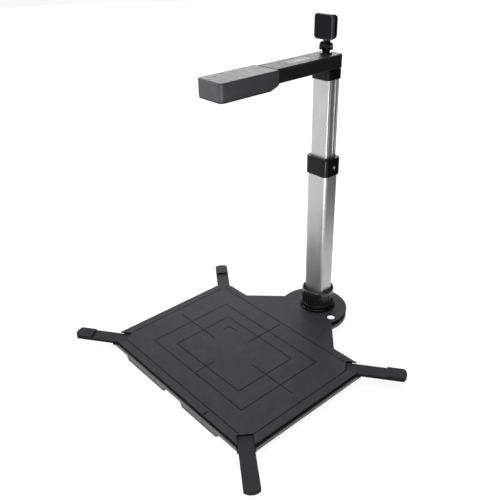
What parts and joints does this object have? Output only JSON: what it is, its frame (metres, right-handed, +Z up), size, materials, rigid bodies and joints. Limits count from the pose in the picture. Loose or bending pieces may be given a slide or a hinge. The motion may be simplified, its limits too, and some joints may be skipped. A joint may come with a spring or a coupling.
{
  "type": "book scanner",
  "caption": "Overhead book scanner: flat copy pad with pull-out corner arms, telescopic column, swivelling boom with camera head, and a tilting second camera.",
  "frame": {"origin": "on the table plane, under the middle of the whole object's box", "axes": "+Z up, +X along the pad's long side to the user's right, +Y from the user's edge of the pad towards the column"},
  "size_m": [0.4338, 0.3936, 0.495],
  "materials": {
    "pad_cover": "fine matt texture, charcoal, with engraved paper outlines",
    "shell_grey": "fine matt texture, mid grey",
    "arm_grey": "fine matt texture, dark grey",
    "dark_inner": "moulded, unpainted",
    "rubber_black": "moulded rubber",
    "ballast_steel": "zinc plated sheet",
    "screw_steel": "bright zinc",
    "cast_grey": "die cast, tumbled",
    "black_satin": "satin black, moulded",
    "black_gloss": "gloss black",
    "column_alu": "satin anodised, fine brushing along the tube",
    "guide_white": "natural acetal",
    "boom_black": "smooth satin black",
    "boom_grey": "fine matt texture, dark grey",
    "plate_silver": "bright anodised, blank",
    "head_grey": "fine matt texture, dark grey",
    "pcb_green": "solder mask",
    "chip_black": "moulded package",
    "lens_black": "matt black anodised",
    "lens_glass": "coated glass",
    "window_tint": "tinted acrylic window",
    "led_board_white": "white solder mask",
    "led_yellow": "phosphor",
    "diffuser_milk": "opal diffuser",
    "subcam_glass_black": "black glass panel",
    "cable_black": "cable jacket"
  },
  "bodies": {
    "base": {"base_top": "pad_cover", "base_shell": "shell_grey", "ballast_plate": "ballast_steel", "arm_guide_fl": "dark_inner", "arm_guide_fr": "dark_inner", "arm_guide_bl": "dark_inner", "arm_guide_br": "dark_inner", "foot_pad_fl": "rubber_black", "foot_pad_fr": "rubber_black", "foot_pad_bl": "rubber_black", "foot_pad_br": "rubber_black", "foot_pad_rear": "rubber_black", "base_screws": "screw_steel", "column_socket": "cast_grey", "column_bolt": "screw_steel", "column_plug": "cast_grey", "ring_flange": "black_gloss", "column_collet": "dark_inner", "lower_tube": "column_alu", "tube_bush": "guide_white", "clamp_collar": "black_satin", "clamp_screw": "screw_steel"},
    "corner_arm_fl": {"arm_fl": "arm_grey"},
    "corner_arm_fr": {"arm_fr": "arm_grey"},
    "corner_arm_bl": {"arm_bl": "arm_grey"},
    "corner_arm_br": {"arm_br": "arm_grey"},
    "locking_ring": {"ring_nut": "black_satin"},
    "mast": {"upper_tube": "column_alu", "tube_slider": "guide_white", "boom_socket": "black_satin", "swivel_pin": "cast_grey", "swivel_nut": "screw_steel", "swivel_washer": "guide_white", "mast_harness": "cable_black"},
    "boom": {"boom_channel": "boom_black", "boom_lid": "boom_grey", "nameplate": "plate_silver", "head_shell": "head_grey", "head_bottom": "head_grey", "camera_board": "pcb_green", "image_sensor": "chip_black", "lens_holder": "dark_inner", "lens_barrel": "lens_black", "front_lens": "lens_glass", "lens_window": "window_tint", "led_board": "led_board_white", "led_chips": "led_yellow", "led_diffuser": "diffuser_milk", "main_board": "pcb_green", "usb_socket": "screw_steel", "boom_screws": "screw_steel", "head_screws": "screw_steel", "subcam_flange": "black_gloss"},
    "second_camera_stem": {"subcam_stem": "black_satin", "subcam_pin": "screw_steel"},
    "second_camera": {"subcam_frame": "black_gloss", "subcam_back": "black_satin", "subcam_glass": "subcam_glass_black", "subcam_lens": "lens_glass", "subcam_board": "pcb_green"}
  },
  "joints": [
    {"name": "arm_fl_slide", "type": "slide", "parent": "base", "child": "corner_arm_fl", "axis": [-0.8165, -0.5773, 0], "range_m": [-0.059, 0]},
    {"name": "arm_fr_slide", "type": "slide", "parent": "base", "child": "corner_arm_fr", "axis": [0.8165, -0.5773, 0], "range_m": [-0.059, 0]},
    {"name": "arm_bl_slide", "type": "slide", "parent": "base", "child": "corner_arm_bl", "axis": [-0.8165, 0.5773, 0], "range_m": [-0.059, 0]},
    {"name": "arm_br_slide", "type": "slide", "parent": "base", "child": "corner_arm_br", "axis": [0.8165, 0.5773, 0], "range_m": [-0.059, 0]},
    {"name": "ring_turn", "type": "hinge", "parent": "base", "child": "locking_ring", "pos_m": [0, 0.15082, 0.044], "axis": [0, 0, 1], "range_deg": [0, 120]},
    {"name": "mast_slide", "type": "slide", "parent": "base", "child": "mast", "axis": [0, 0, 1], "range_m": [-0.112, 0]},
    {"name": "boom_swivel", "type": "hinge", "parent": "mast", "child": "boom", "pos_m": [0, 0.15082, 0.423], "axis": [0, 0, 1], "range_deg": [-90, 90]},
    {"name": "second_camera_swivel", "type": "hinge", "parent": "boom", "child": "second_camera_stem", "pos_m": [0, 0.14782, 0.444], "axis": [0, 0, 1], "range_deg": [-90, 90]},
    {"name": "second_camera_tilt", "type": "hinge", "parent": "second_camera_stem", "child": "second_camera", "pos_m": [0, 0.14782, 0.4524], "axis": [1, 0, 0], "range_deg": [-30, 80]}
  ]
}
